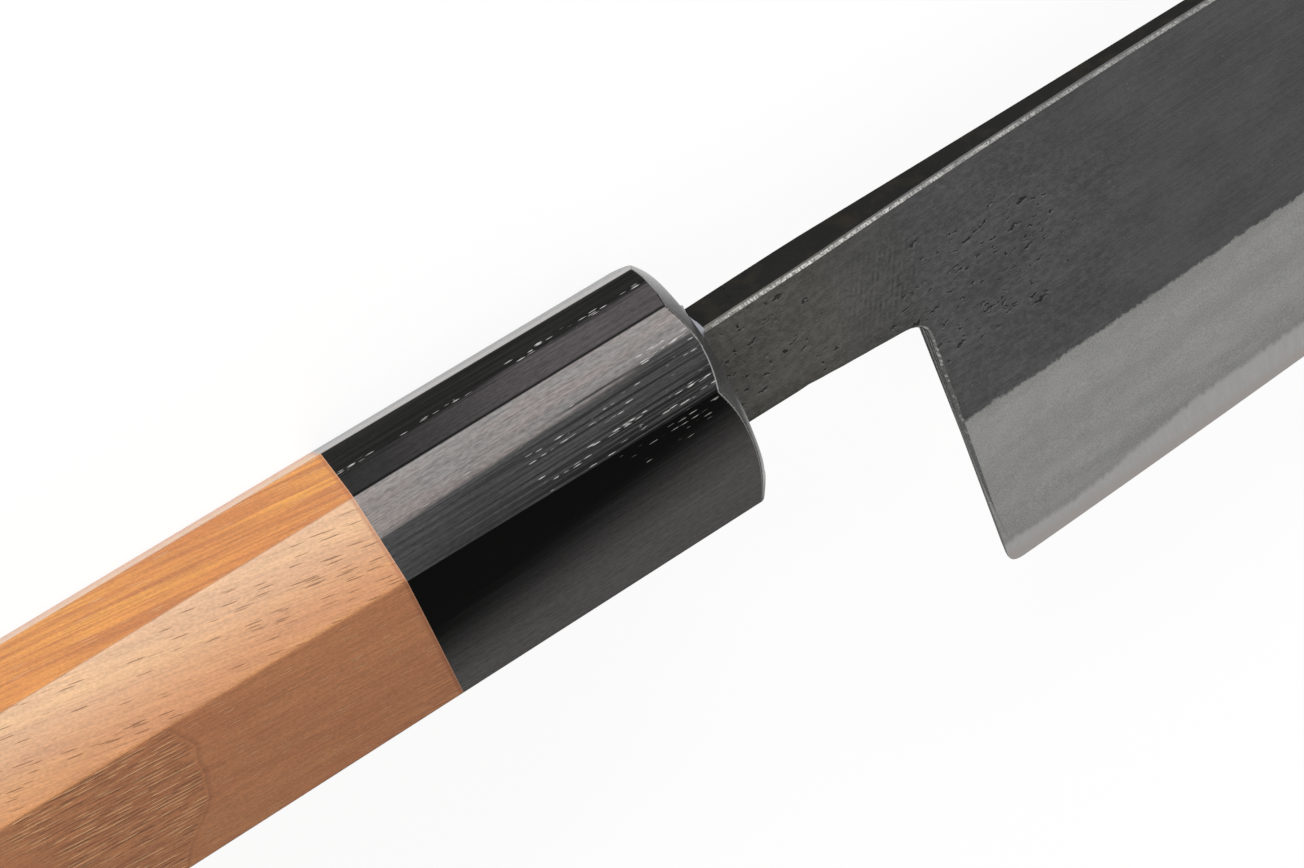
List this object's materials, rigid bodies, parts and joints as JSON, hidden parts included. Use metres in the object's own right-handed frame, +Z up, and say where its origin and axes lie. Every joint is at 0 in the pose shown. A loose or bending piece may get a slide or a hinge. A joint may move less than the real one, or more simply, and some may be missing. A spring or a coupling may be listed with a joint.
{
  "type": "gyuto knife",
  "caption": "Tall kitchen knife with a dark forged laminated blade, a ground double bevel and an eight-sided wooden handle with a black ferrule, for slicing and chopping food.",
  "frame": {"origin": "under the middle of the knife's box, on the surface that it lies on", "axes": "+X from the butt to the tip, +Y from the edge to the spine, +Z up, out of the blade's right face"},
  "size_m": [0.3676, 0.0556, 0.0204],
  "materials": {
    "edge_steel": "fine satin, ground along the edge",
    "forge_scale": "black forge scale above the ridge line, matt grey ground bevel below it",
    "adhesive": "smooth grey bead",
    "dowel_wood": "plain sawn",
    "black_wood": "black dyed laminated wood, satin",
    "grip_wood": "sanded and oiled hardwood, satin"
  },
  "bodies": {
    "root": {"core_steel": "edge_steel", "cladding_right": "forge_scale", "cladding_left": "forge_scale", "mouth_seal": "adhesive", "tang_dowel": "dowel_wood", "ferrule": "black_wood", "handle_body": "grip_wood"}
  },
  "joints": []
}
